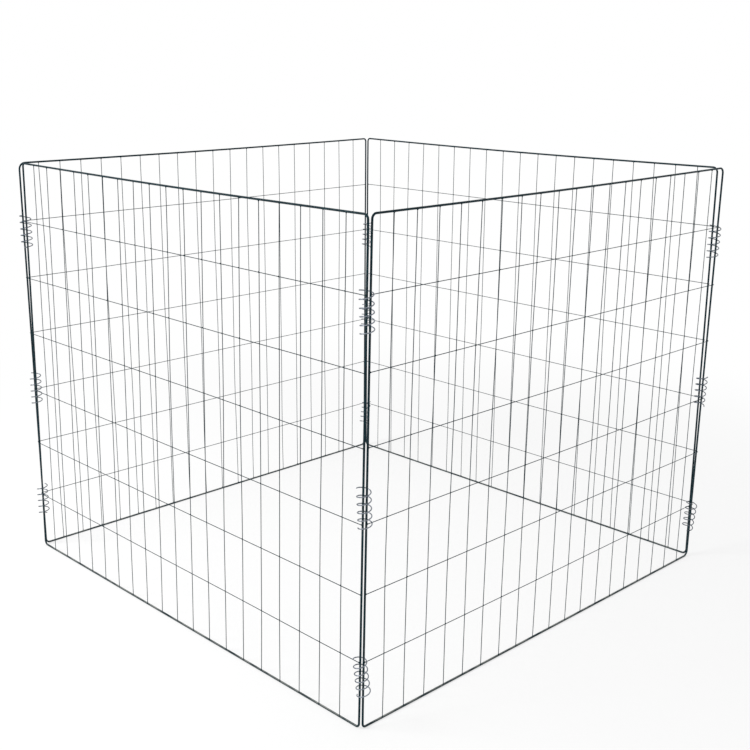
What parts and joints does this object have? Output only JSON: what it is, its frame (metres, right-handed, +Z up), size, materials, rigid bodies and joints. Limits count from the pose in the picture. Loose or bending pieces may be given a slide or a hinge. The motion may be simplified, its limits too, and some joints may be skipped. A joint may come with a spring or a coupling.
{
  "type": "wire compost bin",
  "caption": "Square open bin of coated wire panels, joined at the corners by loose spiral wires so that it folds flat, for holding leaves and garden waste.",
  "frame": {"origin": "on the ground, in the middle of the bin", "axes": "+Z up; -Y is the front panel's outward side and +X the right panel's"},
  "size_m": [0.931, 0.9312, 0.762],
  "materials": {
    "coated_steel": "satin blackish green coating on round steel rod and wire",
    "zinc_plated_steel": "dull bluish zinc plate"
  },
  "bodies": {
    "front_panel": {"front_frame": "coated_steel", "front_cross_wire_1": "coated_steel", "front_cross_wire_2": "coated_steel", "front_cross_wire_3": "coated_steel", "front_cross_wire_4": "coated_steel", "front_cross_wire_5": "coated_steel", "front_cross_wire_6": "coated_steel", "front_left_spiral_top": "zinc_plated_steel", "front_left_spiral_middle": "zinc_plated_steel", "front_left_spiral_bottom": "zinc_plated_steel"},
    "right_panel": {"right_frame": "coated_steel", "right_cross_wire_1": "coated_steel", "right_cross_wire_2": "coated_steel", "right_cross_wire_3": "coated_steel", "right_cross_wire_4": "coated_steel", "right_cross_wire_5": "coated_steel", "right_cross_wire_6": "coated_steel", "front_right_spiral_top": "zinc_plated_steel", "front_right_spiral_middle": "zinc_plated_steel", "front_right_spiral_bottom": "zinc_plated_steel"},
    "back_panel": {"back_frame": "coated_steel", "back_cross_wire_1": "coated_steel", "back_cross_wire_2": "coated_steel", "back_cross_wire_3": "coated_steel", "back_cross_wire_4": "coated_steel", "back_cross_wire_5": "coated_steel", "back_cross_wire_6": "coated_steel", "back_right_spiral_top": "zinc_plated_steel", "back_right_spiral_middle": "zinc_plated_steel", "back_right_spiral_bottom": "zinc_plated_steel"},
    "left_panel": {"left_frame": "coated_steel", "left_cross_wire_1": "coated_steel", "left_cross_wire_2": "coated_steel", "left_cross_wire_3": "coated_steel", "left_cross_wire_4": "coated_steel", "left_cross_wire_5": "coated_steel", "left_cross_wire_6": "coated_steel", "back_left_spiral_top": "zinc_plated_steel", "back_left_spiral_middle": "zinc_plated_steel", "back_left_spiral_bottom": "zinc_plated_steel"}
  },
  "joints": [
    {"name": "front_right_hinge", "type": "hinge", "parent": "front_panel", "child": "right_panel", "pos_m": [0.4523, -0.4523, 0], "axis": [0, 0, 1], "range_deg": [-88, 88]},
    {"name": "front_left_hinge", "type": "hinge", "parent": "front_panel", "child": "left_panel", "pos_m": [-0.4523, -0.4523, 0], "axis": [0, 0, 1], "range_deg": [-88, 88]},
    {"name": "back_right_hinge", "type": "hinge", "parent": "right_panel", "child": "back_panel", "pos_m": [0.4523, 0.4523, 0], "axis": [0, 0, 1], "range_deg": [-88, 88]}
  ],
  "couplings": [
    {"joint": "front_left_hinge", "follows": "front_right_hinge", "ratio": 1},
    {"joint": "back_right_hinge", "follows": "front_right_hinge", "ratio": -1}
  ]
}
